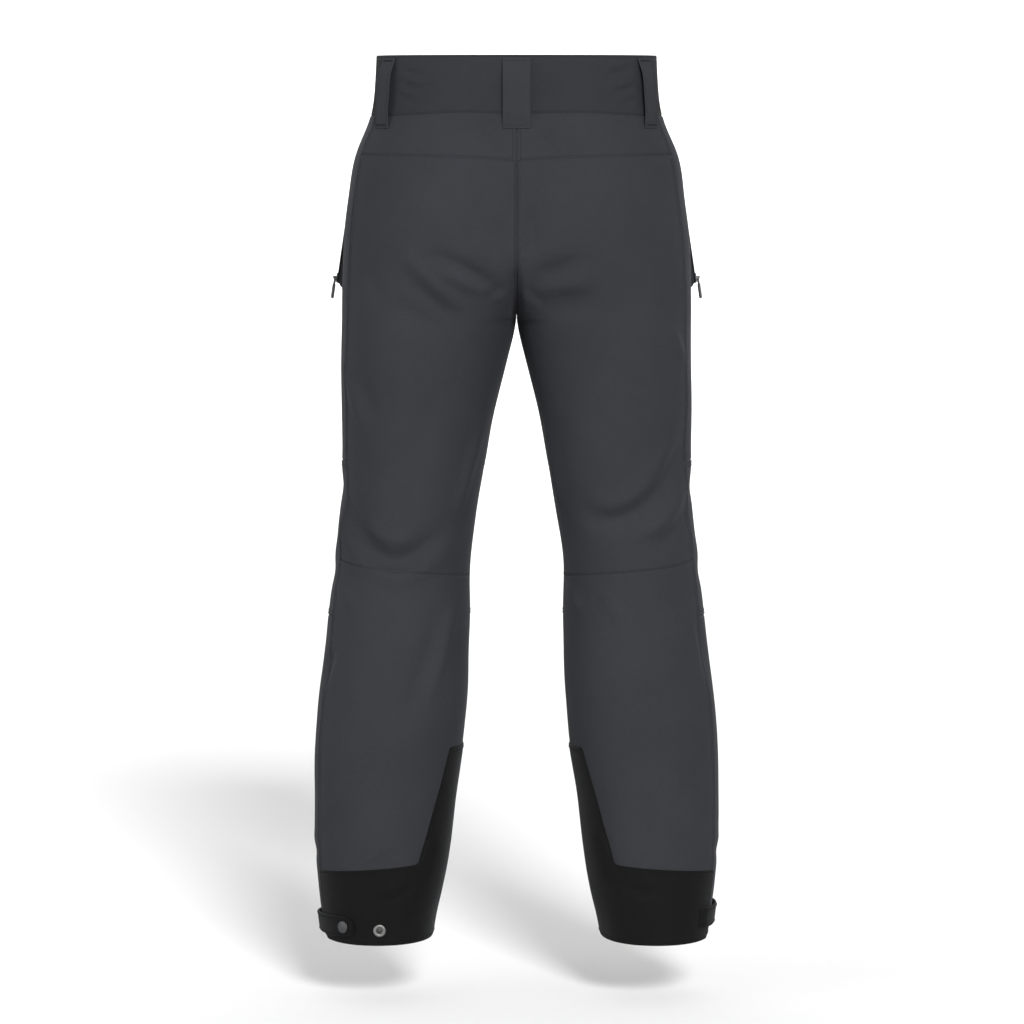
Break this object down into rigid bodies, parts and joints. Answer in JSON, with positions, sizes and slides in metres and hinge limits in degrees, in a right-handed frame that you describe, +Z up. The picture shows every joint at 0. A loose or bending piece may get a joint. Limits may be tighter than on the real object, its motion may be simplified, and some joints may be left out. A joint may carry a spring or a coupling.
{
  "type": "ski pants",
  "caption": "Insulated ski pants with belt loops, zipped fly and pockets, hinged hips and knees, scuff guards, snow gaiters and snapped cuff tabs.",
  "frame": {"origin": "centre of the waist opening, at the top of the waistband", "axes": "+Z up along the body, +X to the wearer's left, +Y to the wearer's back, so the front faces -Y"},
  "size_m": [0.488, 0.2854, 1.058],
  "materials": {
    "shell_fabric": "charcoal softshell, fine matt weave",
    "loop_fabric": "charcoal shell fabric folded into a strip",
    "soft_lining": "dark brushed tricot",
    "elastic": "black gathered elastic",
    "gaiter_fabric": "dark thin woven polyester",
    "scuff_fabric": "black tough dense weave, matt",
    "black_webbing": "black folded tape with edge stitching",
    "zip_chain": "black coil zip on woven tape",
    "zip_slider_metal": "black painted zinc",
    "zip_pull_plastic": "black soft rubber",
    "snap_metal": "grey brushed metal",
    "snap_cap": "dark grey satin metal"
  },
  "bodies": {
    "pelvis": {"waistband_back": "shell_fabric", "waistband_front_left": "shell_fabric", "waistband_front_right": "shell_fabric", "waistband_lining": "soft_lining", "elastic_insert_left": "elastic", "elastic_insert_right": "elastic", "belt_loop_center": "loop_fabric", "belt_loops_back": "loop_fabric", "belt_loops_front": "loop_fabric", "hang_loop": "black_webbing", "yoke_left": "shell_fabric", "yoke_right": "shell_fabric", "seat_panel_left": "shell_fabric", "seat_panel_right": "shell_fabric", "front_panel_left": "shell_fabric", "front_panel_right": "shell_fabric", "pocket_bag_left": "soft_lining", "pocket_bag_right": "soft_lining", "pocket_zip_left": "zip_chain", "pocket_zip_right": "zip_chain", "fly_facing": "shell_fabric", "fly_zip": "zip_chain", "waist_studs": "snap_metal", "hip_fold_left": "shell_fabric", "hip_fold_right": "shell_fabric"},
    "thigh_left": {"thigh_left": "shell_fabric", "knee_front_left": "shell_fabric", "knee_back_left": "shell_fabric"},
    "shin_left": {"shin_panel_left": "shell_fabric", "calf_panel_left": "shell_fabric", "scuff_guard_left": "scuff_fabric", "gaiter_left": "gaiter_fabric", "gaiter_elastic_left": "elastic", "lace_hook_left": "snap_metal", "cuff_studs_left": "snap_metal"},
    "cuff_tab_left": {"cuff_tab_left": "black_webbing", "cuff_cap_left": "snap_cap"},
    "pocket_slider_left": {"pocket_slider_left": "zip_slider_metal"},
    "pocket_pull_left": {"pocket_pull_left": "zip_pull_plastic"},
    "thigh_right": {"thigh_right": "shell_fabric", "knee_front_right": "shell_fabric", "knee_back_right": "shell_fabric"},
    "shin_right": {"shin_panel_right": "shell_fabric", "calf_panel_right": "shell_fabric", "scuff_guard_right": "scuff_fabric", "gaiter_right": "gaiter_fabric", "gaiter_elastic_right": "elastic", "lace_hook_right": "snap_metal", "cuff_studs_right": "snap_metal"},
    "cuff_tab_right": {"cuff_tab_right": "black_webbing", "cuff_cap_right": "snap_cap"},
    "pocket_slider_right": {"pocket_slider_right": "zip_slider_metal"},
    "pocket_pull_right": {"pocket_pull_right": "zip_pull_plastic"},
    "fly_slider": {"fly_slider": "zip_slider_metal"},
    "fly_pull": {"fly_pull": "zip_pull_plastic"},
    "waist_tab": {"waist_tab": "shell_fabric", "waist_snap_caps": "snap_cap"}
  },
  "joints": [
    {"name": "hip_left", "type": "hinge", "parent": "pelvis", "child": "thigh_left", "pos_m": [0.112, 0, -0.268], "axis": [-1, 0, 0], "range_deg": [-10, 40], "deforming": ["hip_fold_left"]},
    {"name": "knee_left", "type": "hinge", "parent": "thigh_left", "child": "shin_left", "pos_m": [0.137, 0, -0.583], "axis": [1, 0, 0], "range_deg": [0, 75], "deforming": ["knee_front_left", "knee_back_left"]},
    {"name": "hip_right", "type": "hinge", "parent": "pelvis", "child": "thigh_right", "pos_m": [-0.112, 0, -0.268], "axis": [-1, 0, 0], "range_deg": [-10, 40], "deforming": ["hip_fold_right"]},
    {"name": "knee_right", "type": "hinge", "parent": "thigh_right", "child": "shin_right", "pos_m": [-0.137, 0, -0.583], "axis": [1, 0, 0], "range_deg": [0, 75], "deforming": ["knee_front_right", "knee_back_right"]},
    {"name": "fly_zip_travel", "type": "slide", "parent": "pelvis", "child": "fly_slider", "axis": [0, -0.059, -0.9983], "range_m": [0, 0.122]},
    {"name": "fly_pull_swing", "type": "hinge", "parent": "fly_slider", "child": "fly_pull", "pos_m": [0, -0.13348, -0.08194], "axis": [-1, 0, 0], "range_deg": [0, 140]},
    {"name": "pocket_zip_travel_left", "type": "slide", "parent": "pelvis", "child": "pocket_slider_left", "axis": [-0.1354, -0.207, 0.9689], "range_m": [0, 0.117]},
    {"name": "pocket_pull_swing_left", "type": "hinge", "parent": "pocket_slider_left", "child": "pocket_pull_left", "pos_m": [0.21786, -0.01426, -0.26576], "axis": [-0.2121, -0.9492, -0.2324], "range_deg": [0, 140]},
    {"name": "pocket_zip_travel_right", "type": "slide", "parent": "pelvis", "child": "pocket_slider_right", "axis": [0.1354, -0.207, 0.9689], "range_m": [0, 0.117]},
    {"name": "pocket_pull_swing_right", "type": "hinge", "parent": "pocket_slider_right", "child": "pocket_pull_right", "pos_m": [-0.21786, -0.01426, -0.26576], "axis": [-0.2121, 0.9492, 0.2324], "range_deg": [0, 140]},
    {"name": "waist_tab_open", "type": "hinge", "parent": "pelvis", "child": "waist_tab", "pos_m": [0.03666, -0.12279, -0.035], "axis": [0, 0, 1], "range_deg": [0, 110]},
    {"name": "cuff_tab_open_left", "type": "hinge", "parent": "shin_left", "child": "cuff_tab_left", "pos_m": [0.23806, 0.006, -1.037], "axis": [0, 0, -1], "range_deg": [0, 110]},
    {"name": "cuff_tab_open_right", "type": "hinge", "parent": "shin_right", "child": "cuff_tab_right", "pos_m": [-0.22007, 0.0712, -1.029], "axis": [0, 0, -1], "range_deg": [0, 110]}
  ]
}
